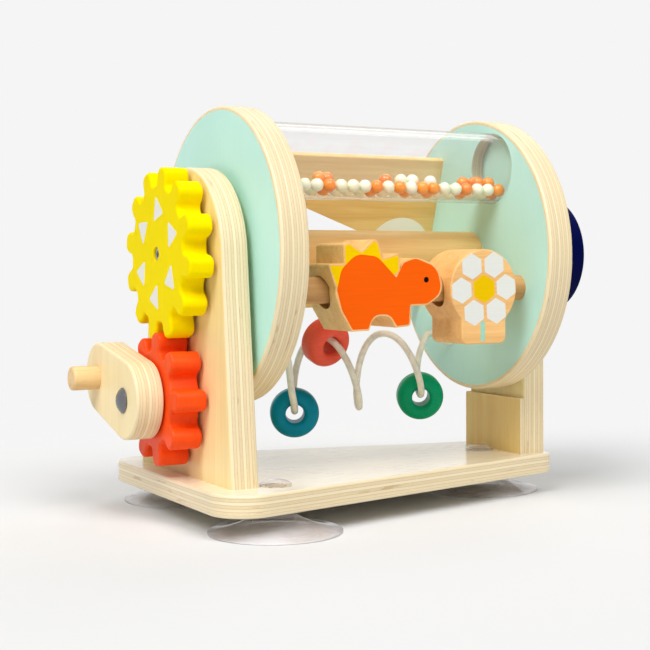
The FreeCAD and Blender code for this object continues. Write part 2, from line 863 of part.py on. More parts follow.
def red_gear():
    gear = gear_blank(red_teeth, red_first_tip(), crank_z, red_front, red_back)
    return gear.cut(rod_x(sleeve_radius + glue_gap, red_front - overrun, red_back + overrun,
                          z=crank_z))


def gear_screw():
    """The socket screw that holds the yellow gear on its axle."""
    head_start = yellow_front + gear_screw_sink
    head_end = head_start + gear_screw_head_depth
    head = rod_x(gear_screw_head_radius, head_start, head_end)
    hexagon = [Vector(head_start - overrun, hex_socket_radius * math.cos(math.radians(60 * i)),
                      axle_z + hex_socket_radius * math.sin(math.radians(60 * i))) for i in range(7)]
    socket = Part.Face(Part.makePolygon(hexagon)).extrude(ALONG * (overrun + hex_socket_depth))
    shank = rod_x(gear_screw_radius, head_end, head_end + gear_screw_length)
    return head.cut(socket).fuse(shank).removeSplitter()


def peg_place():
    """The crank peg's (y, z) place at rest."""
    turn = math.radians(crank_rest_angle)
    return crank_throw * math.cos(turn), crank_z + crank_throw * math.sin(turn)


def crank_arm():
    """A teardrop arm: two round ends joined by their common tangents."""
    tilt = math.asin((arm_hub_radius - arm_tip_radius) / crank_throw)
    direction = math.radians(crank_rest_angle)
    peg_y, peg_z = peg_place()

    def on_hub(angle):
        return Vector(arm_front, arm_hub_radius * math.cos(angle),
                      crank_z + arm_hub_radius * math.sin(angle))

    def on_tip(angle):
        return Vector(arm_front, peg_y + arm_tip_radius * math.cos(angle),
                      peg_z + arm_tip_radius * math.sin(angle))

    upper = direction + math.pi / 2 - tilt
    lower = direction - math.pi / 2 + tilt
    outline = Part.Wire([
        Part.Arc(on_hub(upper), on_hub(direction + math.pi), on_hub(lower)).toShape(),
        Part.LineSegment(on_hub(lower), on_tip(lower)).toShape(),
        Part.Arc(on_tip(lower), on_tip(direction), on_tip(upper)).toShape(),
        Part.LineSegment(on_tip(upper), on_hub(upper)).toShape(),
    ])
    arm = extrude(outline, ALONG * arm_thickness)
    arm = arm.makeFillet(arm_round, end_edges(arm, "X", arm_front, arm_back))
    arm = arm.cut(rod_x(sleeve_radius + glue_gap, arm_front - overrun, arm_back + overrun,
                        z=crank_z))
    return arm.cut(rod_x(peg_radius + glue_gap, arm_front - overrun, arm_front + peg_bite + glue_gap,
                         peg_y, peg_z))


def crank_peg():
    peg_y, peg_z = peg_place()
    peg = rod_x(peg_radius, peg_tip, arm_front + peg_bite, peg_y, peg_z)
    return peg.makeFillet(peg_tip_round, end_edges(peg, "X", peg_tip, peg_tip))


def crank_sleeve():
    """The bush glued through arm and gear, which turns on the bolt."""
    return tube_x(sleeve_radius, bolt_radius + running_gap, arm_front, red_back, z=crank_z)


def crank_spacer():
    return tube_x(crank_spacer_radius, sleeve_radius + glue_gap, arm_back, red_front, z=crank_z)


def crank_bolt():
    """A domed bolt, fixed in the T-nut, on which the crank turns."""
    head_start = arm_front - loose_gap
    dome_radius = (bolt_head_radius ** 2 + bolt_head_height ** 2) / (2 * bolt_head_height)
    dome_centre = Vector(head_start - bolt_head_height + dome_radius, 0, crank_z)
    dome = Part.makeSphere(dome_radius, dome_centre)
    head = dome.common(rod_x(dome_radius, head_start - bolt_head_height - overrun, head_start,
                             z=crank_z))
    shank = rod_x(bolt_radius, head_start, -upright_inner - bolt_end_space, z=crank_z)
    return head.fuse(shank).removeSplitter()


def crank_tnut():
    barrel = rod_x(tnut_barrel_radius, -upright_inner - tnut_length, -upright_inner, z=crank_z)
    flange = rod_x(tnut_flange_radius, -upright_inner, -upright_inner + tnut_flange_thickness,
                   z=crank_z)
    nut = barrel.fuse(flange).removeSplitter()
    return nut.cut(rod_x(bolt_radius + glue_gap, -upright_outer,
                         -upright_inner + tnut_flange_thickness + overrun, z=crank_z))


def thrust_washer(bore_radius, gear_back, z):
    """A washer between the left upright and the back of a gear."""
    return tube_x(washer_radius, bore_radius + running_gap, gear_back + washer_play,
                  -upright_outer, z=z)


def blue_knob():
    knob = rod_x(knob_radius, knob_inner, knob_outer)
    knob = knob.makeFillet(knob_round, end_edges(knob, "X", knob_inner, knob_outer))
    return knob.cut(rod_x(axle_radius + glue_gap, knob_inner - overrun,
                          knob_outer - knob_grip + glue_gap))


# ---------------------------------------------------------------- assembly
def build_parts():
    """Every piece by its node name."""
    orange, cream = rattle_balls()
    last_foot = first_foot + 360 * (coil_loops - 1)
    parts = {
        "base_board": base_board(),
        "left_upright": left_upright(),
        "right_upright": right_upright(),
        "right_spacer_plate": right_spacer_plate(),
        "upright_screws": Part.makeCompound([countersunk_screw(x, y) for x, y in screw_places()]),
        "left_bushing": bushing(-1),
        "right_bushing": bushing(1),
        "drum_washer": thrust_washer(axle_radius, yellow_back, axle_z),
        "crank_washer": thrust_washer(bolt_radius, red_back, crank_z),
        "crank_bolt": crank_bolt(),
        "crank_tnut": crank_tnut(),
        "left_disc": drum_disc(-1),
        "right_disc": drum_disc(1),
        "core_dowel": core_dowel(),
        "bead_tube": bead_tube(),
        "back_panel": back_panel(),
        "round_inlay": round_inlay(),
        "spinner_rod": spinner_rod(),
        "coil_wire": coil_wire(),
        "left_axle": axle(-1),
        "right_axle": axle(1),
        "yellow_gear": yellow_gear(),
        "gear_screw": gear_screw(),
        "blue_knob": blue_knob(),
        "red_gear": red_gear(),
        "crank_arm": crank_arm(),
        "crank_peg": crank_peg(),
        "crank_sleeve": crank_sleeve(),
        "crank_spacer": crank_spacer(),
        "dinosaur_block": dinosaur_block(),
        "flower_block": flower_block(),
        "teal_ring": ring_bead(first_foot, ring_hang),
        "coral_bead": ring_bead(360 + coral_advance, coral_hang, coral_yaw),
        "green_ring": ring_bead(last_foot, ring_hang),
        "rattle_balls_orange": Part.makeCompound(orange),
        "rattle_balls_cream": Part.makeCompound(cream),
    }
    for name, (x, y) in cup_places().items():
        parts[name] = suction_cup(x, y)
    return parts


def main():
    os.makedirs("parts", exist_ok=True)
    for name, shape in build_parts().items():
        shape.translate(origin_shift)
        shape.exportStep("parts/" + name + ".step")
        print(name, len(shape.Solids), "solids", round(shape.Volume, 1), "mm3")


main()
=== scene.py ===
import math

import bmesh
import bpy
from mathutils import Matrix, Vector

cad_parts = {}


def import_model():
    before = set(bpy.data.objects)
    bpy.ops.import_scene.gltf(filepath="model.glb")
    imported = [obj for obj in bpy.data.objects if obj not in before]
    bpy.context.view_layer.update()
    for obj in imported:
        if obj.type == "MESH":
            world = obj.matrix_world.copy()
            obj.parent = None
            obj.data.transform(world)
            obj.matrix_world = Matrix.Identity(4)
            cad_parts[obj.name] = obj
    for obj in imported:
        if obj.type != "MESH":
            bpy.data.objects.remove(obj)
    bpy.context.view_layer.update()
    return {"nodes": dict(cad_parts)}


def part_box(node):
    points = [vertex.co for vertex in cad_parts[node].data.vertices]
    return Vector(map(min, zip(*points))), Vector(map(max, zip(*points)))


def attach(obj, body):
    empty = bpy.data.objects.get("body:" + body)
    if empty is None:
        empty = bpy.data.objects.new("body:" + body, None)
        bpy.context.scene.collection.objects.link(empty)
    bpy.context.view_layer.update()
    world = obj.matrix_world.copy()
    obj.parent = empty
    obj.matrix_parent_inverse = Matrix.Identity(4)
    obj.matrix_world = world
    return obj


# Looks of the geared activity drum. Everything is in metres, in the frame of the packed
# model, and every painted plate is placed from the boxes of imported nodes.
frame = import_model()
nodes = frame["nodes"]

# ---------------------------------------------------------------- named sizes
MM = 0.001
X, Y, Z = 0, 1, 2

# Camera, set from the photograph's perspective
CAMERA_AZIMUTH = -31.01       # degrees, from square to the drum's front
CAMERA_ELEVATION = -0.72      # degrees
CAMERA_DISTANCE = 0.72476     # from the point that it is aimed at
CAMERA_LENS = 78.83           # focal length in millimetres
CAMERA_SHIFT = (-0.1158, -0.1296)
CAMERA_NEAR = 0.01
AIM_BESIDE_DRUM = 0.02258     # from the drum's middle towards the knob
AIM_ABOVE_BOARD = 0.10951     # from the top of the base board

# Light
BACKGROUND = 0.913            # linear level of the pale background
ZENITH_LIGHT = 0.30           # room light from straight above
HORIZON_LIGHT = 0.10          # room light from the horizon and from below
LAMPS = (                     # name, strength, softness in degrees, direction it comes from
    ("overhead_softbox", 0.7, 30.0, (-0.35, -0.12, 0.93)),
    ("left_softbox", 1.5, 28.0, (-0.62, -0.35, 0.70)),
    ("front_softbox", 1.5, 30.0, (0.05, -0.62, 0.78)),
    ("rear_softbox", 0.3, 25.0, (0.50, 0.45, 0.74)),
)
FLOOR_ALBEDO = 0.75
FLOOR_RADIUS = 4.0
FLOOR_SIDES = 64
SHADOW_REACH = (0.26, 0.55)   # between these radii the floor fades into the background

# Streaks: their size across the grain and along it, and the noise levels between which
# they come out of the ground
FIGURE_STREAK = (7 * MM, 130 * MM)
FIGURE_LEVELS = (0.3, 0.72)
FIBRE_STREAK = (0.9 * MM, 26 * MM)
FIBRE_LEVELS = (0.25, 0.75)
PORE_STREAK = (0.45 * MM, 3.2 * MM)
PORE_LEVELS = (0.64, 0.74)
PORE_SHADE = 0.35             # how far a pore goes towards the wood's dark colour
PAINTED_FIBRE_STREAK = (0.8 * MM, 18 * MM)
TOOL_MARK = (0.5 * MM, 6 * MM)
TOOL_MARK_LEVELS = (0.3, 0.7)

# Plywood: how many features a metre holds along the board and through its plies
END_GRAIN = (700.0, 1500.0)
PLY_LINES = (90.0, 1800.0)
DARK_PATCHES = (45.0, 260.0)
DARK_PATCH_LEVELS = (0.60, 0.72)
PLY_DRIFT = 24.0              # the glue lines' slow bends, as many in every direction
PLY_BEND = 0.5                # how far they bend, in plies
CROSSED_PLY_TONE = 0.45       # every second ply is darker by this share
OWN_PLY_TONE = 0.4            # every ply is darker by its own random part of this
PLY_LINE_TONE = 0.5
SEAM_PLACE = (0.38, 0.5)      # from where a seam starts, off a ply's middle, to its glue
GLUE_SHADE = 0.55
DARK_PATCH_SHADE = 0.5
SEAM_DEPTH = 0.5
FACE_FLATNESS = (0.80, 0.97)  # less square to the board's axis is edge, more square is face
DISC_PLIES = 11

# Clear plastic
SHADOW_PASSED = 0.85          # share of the light that goes through to what lies behind
MIRROR_FACE_ON = 0.04         # share that its skin mirrors when looked at squarely
MIRROR_POWER = 5.0            # how late the mirroring grows as the skin turns away

# Balls
BALL_OWN_SHADE = 0.75         # the share of its shade that a ball has to itself

# Paint and print
PAINT_THICKNESS = 0.06 * MM
ARC_STEPS = 5                 # straight pieces in an outline's rounded corner
DISC_RIM = 2.0 * MM           # bare plywood outside the disc's paint
PAINT_EDGE = 0.25 * MM        # half the width over which that paint ends
PAINT_WOBBLE = 0.6 * MM
PAINTED_FIBRE_SHADE = 0.10
PETAL_SPACING = 12.8 * MM
PETAL_RADIUS = 6.3 * MM
PETAL_CORNER = 0.7 * MM
PETAL_TURN = 3.3              # the print's lean on its block, in degrees
FLOWER_MIDDLE_RADIUS = 6.8 * MM
TRIANGLE_REACH = 20.3 * MM
TRIANGLE_RADIUS = 7.2 * MM
TRIANGLE_CORNER = 0.9 * MM
TRIANGLE_START = 34.0         # the first triangle's place round the gear, in degrees
TRIANGLE_TURNS = (27.6, 72.6, 56.6, 101.6, 113.6, 5.6)
DINOSAUR_TAIL = 29.77 * MM    # from the block's left end to the middle of its print
PUPIL_CENTRE = (21.7 * MM, 4.6 * MM)
PUPIL_RADIUS = 1.35 * MM
PUPIL_CORNER = 0.3 * MM
PUPIL_SIDES = 10

# The board's print: a grid of places, in most of which there is a dash
DASH_ROW = 3.4 * MM           # from row to row
DASH_SPACING = 11 * MM        # from place to place in a row
DASH_ENDS = (0.30, 0.22)      # off its middle a dash goes from nothing to full between these
DASH_SIDES = (0.26, 0.16)     # shares of its place, lengthways and across
DASH_KEPT = (0.35, 0.45)      # about 4 places in 10 are empty or faint
DASH_WEAR = (0.35, 0.65)
DASH_STRENGTH = 0.5
ROW_OFFSET = 7.0              # the most that a row is shifted, in places
TOP_FLATNESS = (0.9, 0.98)    # only what faces up as squarely as this is printed

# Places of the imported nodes
core_low, core_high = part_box("core_dowel")
drum_middle = (core_low + core_high) / 2
board_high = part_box("base_board")[1]
disc_low, disc_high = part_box("right_disc")
disc_radius = (disc_high.z - disc_low.z) / 2
rod_low, rod_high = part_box("spinner_rod")
rod_middle = (rod_low + rod_high) / 2


# ---------------------------------------------------------------- colours
def srgb(red, green, blue):
    """A colour from 0 to 255 as a photo editor shows it, made linear."""
    linear = []
    for value in (red, green, blue):
        share = value / 255
        linear.append(share / 12.92 if share <= 0.04045 else ((share + 0.055) / 1.055) ** 2.4)
    return (*linear, 1.0)


def darker(colour, share):
    """A colour with only this share of its light."""
    return tuple(channel * share for channel in colour[:3]) + (1.0,)


EDGE_LIGHT = srgb(243, 228, 190)
EDGE_DARK = srgb(226, 203, 158)
GLUE_LINE = srgb(176, 130, 76)
VENEER_LIGHT = srgb(250, 232, 190)
VENEER_DARK = srgb(232, 202, 148)
MINT_DEEP = srgb(194, 242, 230)
MINT_LIGHT = srgb(204, 250, 238)
MINT_FIBRE = srgb(172, 224, 207)
UPRIGHT_LIGHT = srgb(255, 236, 176)
UPRIGHT_DARK = srgb(242, 210, 140)
DASH_GREY = srgb(196, 190, 182)


# ---------------------------------------------------------------- node materials
class Finish:
    """A node material built by short calls. Most calls add a node and return its output."""

    def __init__(self, name, fixed):
        self.material = bpy.data.materials.new(name)
        self.material.use_nodes = True
        self.tree = self.material.node_tree
        self.surface = self.tree.nodes["Principled BSDF"]
        for socket, value in fixed.items():
            self.surface.inputs[socket].default_value = value
        here = self.add("TexCoord")
        self.place = here.outputs["Object"]
        self.facing = here.outputs["Normal"]

    def add(self, kind):
        """A new node of this kind."""
        return self.tree.nodes.new("ShaderNode" + kind)

    def feed(self, socket, value):
        """Link a node's output to the socket, or set a plain value on it."""
        if isinstance(value, bpy.types.NodeSocket):
            self.tree.links.new(value, socket)
        else:
            socket.default_value = value

    def math(self, operation, *values, clamp=False):
        node = self.add("Math")
        node.operation = operation
        node.use_clamp = clamp
        for socket, value in zip(node.inputs, values):
            self.feed(socket, value)
        return node.outputs[0]

    def vector(self, operation, *values):
        node = self.add("VectorMath")
        node.operation = operation
        for socket, value in zip(node.inputs, values):
            self.feed(socket, value)
        return node.outputs["Value" if operation == "LENGTH" else "Vector"]

    def part(self, vector, axis):
        """One axis of a vector."""
        node = self.add("SeparateXYZ")
        self.feed(node.inputs[0], vector)
        return node.outputs[axis]

    def ramp(self, value, low, high, start=0.0, end=1.0):
        """From start, where value is low, smoothly to end, where it is high."""
        node = self.add("MapRange")
        node.interpolation_type = "SMOOTHSTEP"
        for name, given in (("Value", value), ("From Min", low), ("From Max", high),
                            ("To Min", start), ("To Max", end)):
            self.feed(node.inputs[name], given)
        return node.outputs[0]

    def blend(self, share, first, second):
        """A colour that goes from the first to the second as share goes from 0 to 1."""
        node = self.add("Mix")
        node.data_type = "RGBA"
        self.feed(node.inputs[0], share)
        self.feed(node.inputs[6], first)
        self.feed(node.inputs[7], second)
        return node.outputs[2]

    def noise(self, stretch, detail=3.0, roughness=0.5, warp=0.0):
        """Noise from 0 to 1 whose features are 1 / stretch metres long on each axis."""
        node = self.add("TexNoise")
        self.feed(node.inputs["Vector"], self.vector("MULTIPLY", self.place, stretch))
        node.inputs["Scale"].default_value = 1.0
        node.inputs["Detail"].default_value = detail
        node.inputs["Roughness"].default_value = roughness
        node.inputs["Distortion"].default_value = warp
        return node.outputs[0]

    def random(self, value):
        """A random number from 0 to 1, the same wherever value is the same."""
        node = self.add("TexWhiteNoise")
        node.noise_dimensions = "1D"
        self.feed(node.inputs["W"], value)
        return node.outputs["Value"]

    def bump(self, height, distance, strength):
        """Let the surface look raised where height is 1, by this distance."""
        node = self.add("Bump")
        node.inputs["Strength"].default_value = strength
        node.inputs["Distance"].default_value = distance
        self.feed(node.inputs["Height"], height)
        self.feed(self.surface.inputs["Normal"], node.outputs["Normal"])

    def colour(self, value):
        self.feed(self.surface.inputs["Base Color"], value)

    def roughness(self, value):
        self.feed(self.surface.inputs["Roughness"], value)

    def cover(self, share, shader):
        """Lay another shader over this share of the surface."""
        mixed = self.add("MixShader")
        self.feed(mixed.inputs[0], share)
        self.feed(mixed.inputs[1], self.surface.outputs[0])
        self.feed(mixed.inputs[2], shader.outputs[0])
        self.feed(self.tree.nodes["Material Output"].inputs["Surface"], mixed.outputs[0])

    # Patterns that several materials share
    def cloud(self, count, detail=2.0):
        """Even noise with this count of features in a metre."""
        return self.noise([count] * 3, detail)

    def streaks(self, along, size, detail=4.0, warp=0.3):
        """Noise drawn out along one axis."""
        across, length = size
        stretch = [1 / across] * 3
        stretch[along] = 1 / length
        return self.noise(stretch, detail, 0.55, warp)

    def through_plies(self, axis, counts):
        """Noise with one count along a board and another through its plies."""
        along, through = counts
        stretch = [along] * 3
        stretch[axis] = through
        return self.noise(stretch, 3.0, 0.6)

    def swing(self, value, size):
        """A value from 0 to 1, turned into one from -size / 2 to size / 2."""
        return self.math("MULTIPLY", self.math("SUBTRACT", value, 0.5), size)

    def off_middle(self, value):
        """How far a value from 0 to 1 lies from the middle."""
        return self.math("ABSOLUTE", self.math("SUBTRACT", value, 0.5))

    def grain(self, along, light, dark, figure, fibres=0.35):
        """Wood colour: broad figure, fine fibres and short pores, all along the grain."""
        broad = self.streaks(along, FIGURE_STREAK, detail=3.0, warp=0.8)
        broad = self.ramp(broad, *FIGURE_LEVELS)
        fine = self.ramp(self.streaks(along, FIBRE_STREAK), *FIBRE_LEVELS)
        pores = self.streaks(along, PORE_STREAK, detail=2.0, warp=0.0)
        pores = self.ramp(pores, *PORE_LEVELS)
        depth = self.math("MULTIPLY", broad, figure)
        depth = self.math("MULTIPLY_ADD", fine, fibres, depth, clamp=True)
        surface = self.blend(depth, light, dark)
        surface = self.blend(self.math("MULTIPLY", pores, PORE_SHADE), surface, dark)
        return surface, fine, pores

    def relief(self, fine, pores, raised, sunk):
        """Height of bare wood: fibres raised and pores sunk by these shares."""
        return self.math("MULTIPLY_ADD", pores, -sunk, self.math("MULTIPLY", fine, raised))


def wood(name, light, dark, roughness=0.5, figure=0.55):
    """Solid hardwood with its grain along the drum and a thin satin lacquer."""
    look = Finish(name, {"Coat Weight": 0.12, "Coat Roughness": 0.3})
    colour, fine, pores = look.grain(X, light, dark, figure)
    look.colour(colour)
    look.roughness(look.ramp(fine, 0.0, 1.0, roughness - 0.06, roughness + 0.1))
    height = look.relief(fine, pores, raised=0.3, sunk=0.8)
    look.bump(height, distance=0.05 * MM, strength=0.5)
    return look.material


def ply_place(look, axis, node, plies):
    """The number of the ply that a point lies in, and its share of the way through it."""
    low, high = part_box(node)
    thickness = high[axis] - low[axis]
    depth = look.math("SUBTRACT", look.part(look.place, axis), low[axis])
    depth = look.math("MULTIPLY", depth, plies / thickness)
    depth = look.math("ADD", depth, look.swing(look.cloud(PLY_DRIFT, 3.0), PLY_BEND))
    return look.math("FLOOR", depth), look.math("FRACT", depth)


def ply_edges(look, axis, ply, inside):
    """Colour of a plywood edge, and where its glue seams are. Every second ply shows end grain."""
    crossed = look.math("PINGPONG", ply, 1.0)
    own = look.math("MULTIPLY", look.random(ply), OWN_PLY_TONE)
    tone = look.math("MULTIPLY_ADD", crossed, CROSSED_PLY_TONE, own)
    tone = look.math("ADD", tone, look.swing(look.through_plies(axis, END_GRAIN), crossed))
    lines = look.math("SUBTRACT", look.through_plies(axis, PLY_LINES), 0.5)
    tone = look.math("MULTIPLY_ADD", lines, PLY_LINE_TONE, tone, clamp=True)
    edge = look.blend(tone, EDGE_LIGHT, EDGE_DARK)
    seam = look.ramp(look.off_middle(inside), *SEAM_PLACE)
    edge = look.blend(look.math("MULTIPLY", seam, GLUE_SHADE), edge, GLUE_LINE)
    patch = look.ramp(look.through_plies(axis, DARK_PATCHES), *DARK_PATCH_LEVELS)
    patch = look.math("MULTIPLY", patch, look.math("MULTIPLY", crossed, DARK_PATCH_SHADE))
    return look.blend(patch, edge, GLUE_LINE), seam


def layered(look, axis, node, plies, face_colour):
    """Plywood: face veneer on the flat sides and the glued plies on the edges."""
    ply, inside = ply_place(look, axis, node, plies)
    edge, seam = ply_edges(look, axis, ply, inside)
    flatness = look.math("ABSOLUTE", look.part(look.facing, axis))
    is_face = look.ramp(flatness, *FACE_FLATNESS)
    return look.blend(is_face, edge, face_colour), is_face, seam


def plywood(name, node, light, dark, plies, axis=X, along=Z, extra=None, lacquer=0.1):
    """A lacquered plywood board, its plies stacked on one axis and its face grain along
    another; extra adds a print to its face colour."""
    look = Finish(name, {"Coat Weight": lacquer, "Coat Roughness": 0.16, "Specular IOR Level": 0.3})
    face, fine, pores = look.grain(along, light, dark, figure=0.45, fibres=0.3)
    if extra:
        face = extra(look, face)
    colour, is_face, seam = layered(look, axis, node, plies, face)
    look.colour(colour)
    look.roughness(look.ramp(is_face, 0.0, 1.0, 0.62, 0.45))
    height = look.relief(fine, pores, raised=0.25, sunk=0.6)
    height = look.math("MULTIPLY_ADD", seam, -SEAM_DEPTH, height)
    look.bump(height, distance=0.06 * MM, strength=0.6)
    return look.material


def mint_disc(name, node):
    """A plywood disc with painted faces and a bare rim."""
    look = Finish(name, {"Coat Weight": 0.08, "Coat Roughness": 0.4})
    veneer, fine, pores = look.grain(Z, VENEER_LIGHT, VENEER_DARK, figure=0.4, fibres=0.3)
    from_axle = look.vector("SUBTRACT", look.place, (0.0, drum_middle.y, drum_middle.z))
    radius = look.vector("LENGTH", look.vector("MULTIPLY", from_axle, (0.0, 1.0, 1.0)))
    radius = look.math("ADD", radius, look.swing(look.cloud(60.0), PAINT_WOBBLE))
    paint_end = disc_radius - DISC_RIM
    painted = look.ramp(radius, paint_end + PAINT_EDGE, paint_end - PAINT_EDGE)
    shade = look.ramp(look.cloud(14.0, 3.0), 0.3, 0.7)
    mint = look.blend(shade, MINT_DEEP, MINT_LIGHT)
    mint = look.blend(look.math("MULTIPLY", fine, PAINTED_FIBRE_SHADE), mint, MINT_FIBRE)
    face = look.blend(painted, veneer, mint)
    colour, _, seam = layered(look, X, node, DISC_PLIES, face)
    look.colour(colour)
    look.roughness(look.ramp(painted, 0.0, 1.0, 0.5, 0.42))
    height = look.relief(fine, pores, raised=0.25, sunk=0.4)
    height = look.math("MULTIPLY_ADD", seam, -SEAM_DEPTH, height)
    look.bump(height, distance=0.05 * MM, strength=0.5)
    return look.material


def paint(name, colour, gloss, depth, roughness=0.45, along=X):
    """Sprayed paint on wood: slight shade drift, fibres showing through, orange peel.
    depth sets how dark the drift and the fibres get."""
    look = Finish(name, {"Specular IOR Level": gloss})
    drift = look.ramp(look.cloud(30.0), 0.3, 0.7)
    fine = look.streaks(along, PAINTED_FIBRE_STREAK)
    fibres = look.ramp(fine, 0.35, 0.7)
    tone = look.math("MULTIPLY_ADD", fibres, 0.5, look.math("MULTIPLY", drift, 0.5))
    look.colour(look.blend(tone, colour, darker(colour, 1 - 1.6 * depth)))
    look.roughness(look.ramp(fine, 0.2, 0.8, roughness - 0.05, roughness + 0.08))
    peel = look.cloud(900.0)
    height = look.math("MULTIPLY_ADD", peel, 0.4, look.math("MULTIPLY", fine, 0.5))
    look.bump(height, distance=0.03 * MM, strength=0.5)
    return look.material


def clear(name, light, dark, thin, rim, roughness):
    """Clear moulded plastic: thin is how solid it looks face on and rim where it turns away.
    It has a glossy skin, and most light passes on to what lies behind it."""
    look = Finish(name, {"Specular IOR Level": 0.0})
    haze = look.ramp(look.noise([45.0, 45.0, 160.0], 2.0), 0.35, 0.65)
    look.colour(look.blend(haze, light, dark))
    turned = look.add("LayerWeight")
    turned.inputs["Blend"].default_value = 0.5
    ray = look.add("LightPath")
    passed = look.math("MULTIPLY", ray.outputs["Is Shadow Ray"], SHADOW_PASSED)
    seen = look.math("SUBTRACT", 1.0, passed)
    solid = look.ramp(turned.outputs["Facing"], 0.45, 1.0, thin, rim)
    look.feed(look.surface.inputs["Alpha"], look.math("MULTIPLY", solid, seen))
    look.roughness(look.ramp(look.cloud(160.0), 0.4, 0.8, roughness, roughness + 0.08))
    skin = look.add("BsdfGlossy")
    skin.inputs["Roughness"].default_value = roughness
    mirror = look.math("POWER", turned.outputs["Facing"], MIRROR_POWER)
    mirror = look.math("MULTIPLY_ADD", mirror, 1 - MIRROR_FACE_ON, MIRROR_FACE_ON)
    look.cover(look.math("MULTIPLY", mirror, seen), skin)
    return look.material


def metal(name, colour, roughness):
    """Turned or plated metal with fine marks along the drum."""
    look = Finish(name, {"Metallic": 1.0})
    marks = look.streaks(X, TOOL_MARK)
    shade = look.ramp(marks, *TOOL_MARK_LEVELS)
    look.colour(look.blend(shade, colour, darker(colour, 0.82)))
    look.roughness(look.ramp(marks, *TOOL_MARK_LEVELS, roughness, roughness + 0.12))
    look.bump(marks, distance=0.01 * MM, strength=0.4)
    return look.material


def moulded(name, colour, roughness, soft=0.0):
    """Opaque plastic or a smooth coating, with a faint skin."""
    look = Finish(name, {"Subsurface Weight": soft, "Subsurface Scale": 1.5 * MM})
    shade = look.ramp(look.cloud(260.0, 3.0), 0.35, 0.7)
    look.colour(look.blend(shade, colour, darker(colour, 0.86)))
    look.roughness(look.ramp(look.cloud(500.0), 0.3, 0.7, roughness, roughness + 0.1))
    look.bump(look.cloud(1400.0), distance=0.012 * MM, strength=0.5)
    return look.material


def ball(name, light, deep):
    """Glossy little balls, each with its own shade."""
    look = Finish(name, {"Subsurface Weight": 0.1, "Subsurface Scale": 2 * MM, "Coat Weight": 0.5,
                         "Coat Roughness": 0.08})
    geometry = look.add("NewGeometry")
    own = look.math("MULTIPLY", geometry.outputs["Random Per Island"], BALL_OWN_SHADE)
    shared = look.math("MULTIPLY", look.cloud(420.0), 1 - BALL_OWN_SHADE)
    look.colour(look.blend(look.math("ADD", own, shared), light, deep))
    look.roughness(look.ramp(look.cloud(800.0), 0.3, 0.7, 0.22, 0.34))
    return look.material


def board_print(look, face):
    """A faint generic print of short grey dashes in rows on the board's top."""
    across = look.math("MULTIPLY", look.part(look.place, Y), 1 / DASH_ROW)
    row = look.math("FLOOR", across)
    offset = look.math("MULTIPLY", look.random(row), ROW_OFFSET)
    place = look.math("MULTIPLY_ADD", look.part(look.place, X), 1 / DASH_SPACING, offset)
    length = look.ramp(look.off_middle(look.math("FRACT", place)), *DASH_ENDS)
    width = look.ramp(look.off_middle(look.math("FRACT", across)), *DASH_SIDES)
    dash = look.math("MULTIPLY", length, width)
    kept = look.ramp(look.random(look.math("ADD", look.math("FLOOR", place), row)), *DASH_KEPT)
    worn = look.ramp(look.cloud(45.0, 3.0), *DASH_WEAR)
    dash = look.math("MULTIPLY", dash, look.math("MULTIPLY", kept, worn))
    is_top = look.ramp(look.part(look.facing, Z), *TOP_FLATNESS)
    mask = look.math("MULTIPLY", look.math("MULTIPLY", dash, is_top), DASH_STRENGTH)
    return look.blend(mask, face, DASH_GREY)


